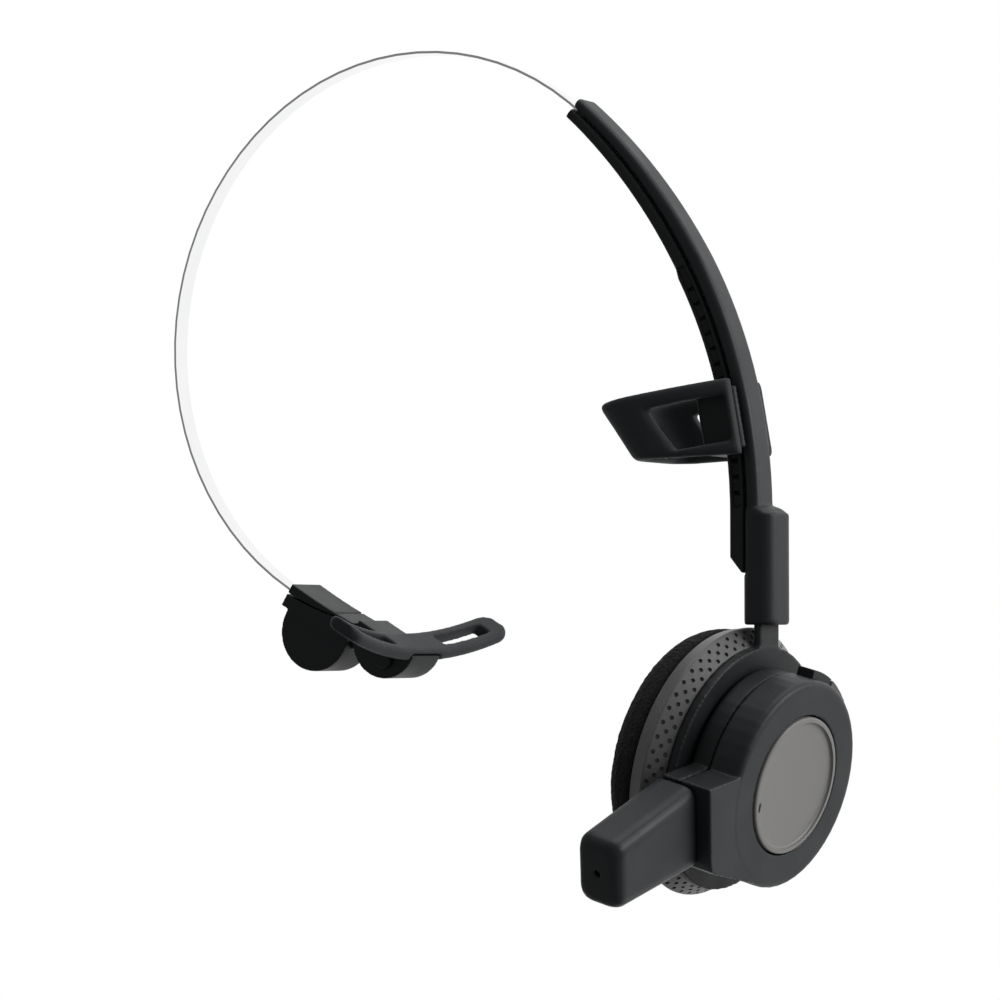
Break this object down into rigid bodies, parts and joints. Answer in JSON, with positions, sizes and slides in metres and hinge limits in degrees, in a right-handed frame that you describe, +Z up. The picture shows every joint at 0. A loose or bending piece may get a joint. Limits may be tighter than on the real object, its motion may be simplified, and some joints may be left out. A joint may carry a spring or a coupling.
{
  "type": "office headset",
  "caption": "Wireless single-ear office headset: sprung steel hoop, black arm with sliding head support, tilting T-bar, foam ear cushion and a turning boom microphone.",
  "frame": {"origin": "centre of the circle that the steel hoop lies on, where the wearer's head is", "axes": "+X from the T-bar towards the ear cup, -Y forwards along the boom, +Z up when worn"},
  "size_m": [0.1521, 0.0821, 0.1726],
  "materials": {
    "black_plastic": "satin",
    "dark_plastic": "satin",
    "grey_plastic": "satin",
    "ring_plastic": "satin",
    "soft_rubber": "matte",
    "foam": "matte",
    "polished_steel": "polished",
    "dark_steel": "satin",
    "board": "matte",
    "battery_foil": "satin"
  },
  "bodies": {
    "headband": {"band_spring": "polished_steel", "arm_outer_shell": "black_plastic", "arm_inner_rail": "dark_plastic", "arm_screw_top": "dark_steel", "arm_screw_bottom": "dark_steel", "carrier_body": "dark_plastic", "carrier_cap": "dark_plastic", "carrier_screw": "dark_steel", "tbar_pin": "dark_plastic"},
    "tbar": {"tbar_hub": "dark_plastic", "tbar_pad": "soft_rubber"},
    "support": {"support_saddle": "dark_plastic", "support_pad": "soft_rubber"},
    "neck": {"neck_yoke": "black_plastic", "vent_ring": "ring_plastic", "baffle": "black_plastic", "speaker_driver": "dark_steel", "speaker_magnet": "dark_steel", "acoustic_cloth": "foam", "ear_cushion": "foam"},
    "drum": {"front_housing": "dark_plastic", "rear_shell": "black_plastic", "main_board": "board", "button_switch": "dark_steel", "battery": "battery_foil", "pivot_stud": "dark_steel", "pivot_clip": "polished_steel", "boom_housing": "dark_plastic", "mic_capsule": "dark_steel"},
    "talk_button": {"talk_button": "grey_plastic"},
    "volume_up_key": {"volume_up_key": "black_plastic"},
    "power_key": {"power_key": "grey_plastic"},
    "volume_down_key": {"volume_down_key": "black_plastic"}
  },
  "joints": [
    {"name": "tbar_tilt", "type": "hinge", "parent": "headband", "child": "tbar", "pos_m": [-0.0046, 0, -0.066], "axis": [0, 1, 0], "range_deg": [-12, 12]},
    {"name": "support_slide", "type": "hinge", "parent": "headband", "child": "support", "pos_m": [-0.02773, 0, -0.03722], "axis": [0, 1, 0], "range_deg": [-15, 4.5]},
    {"name": "cup_slide", "type": "slide", "parent": "headband", "child": "neck", "axis": [0, 0, -1], "range_m": [0, 0.014]},
    {"name": "boom_turn", "type": "hinge", "parent": "neck", "child": "drum", "pos_m": [0.08677, -0.00074, -0.09055], "axis": [0.9625, -0.1097, -0.248], "range_deg": [-65, 200]},
    {"name": "talk_press", "type": "slide", "parent": "drum", "child": "talk_button", "axis": [-0.9625, 0.1097, 0.248], "range_m": [0, 0.0007], "stiffness_N_per_m": 1500, "springref_m": -0.0003},
    {"name": "volume_up_press", "type": "slide", "parent": "drum", "child": "volume_up_key", "axis": [-0.2673, -0.23, -0.9357], "range_m": [0, 0.0005], "stiffness_N_per_m": 1500, "springref_m": -0.0003},
    {"name": "power_press", "type": "slide", "parent": "drum", "child": "power_key", "axis": [-0.2659, -0.5613, -0.7837], "range_m": [0, 0.0005], "stiffness_N_per_m": 1500, "springref_m": -0.0003},
    {"name": "volume_down_press", "type": "slide", "parent": "drum", "child": "volume_down_key", "axis": [-0.2291, -0.818, -0.5276], "range_m": [0, 0.0005], "stiffness_N_per_m": 1500, "springref_m": -0.0003}
  ]
}
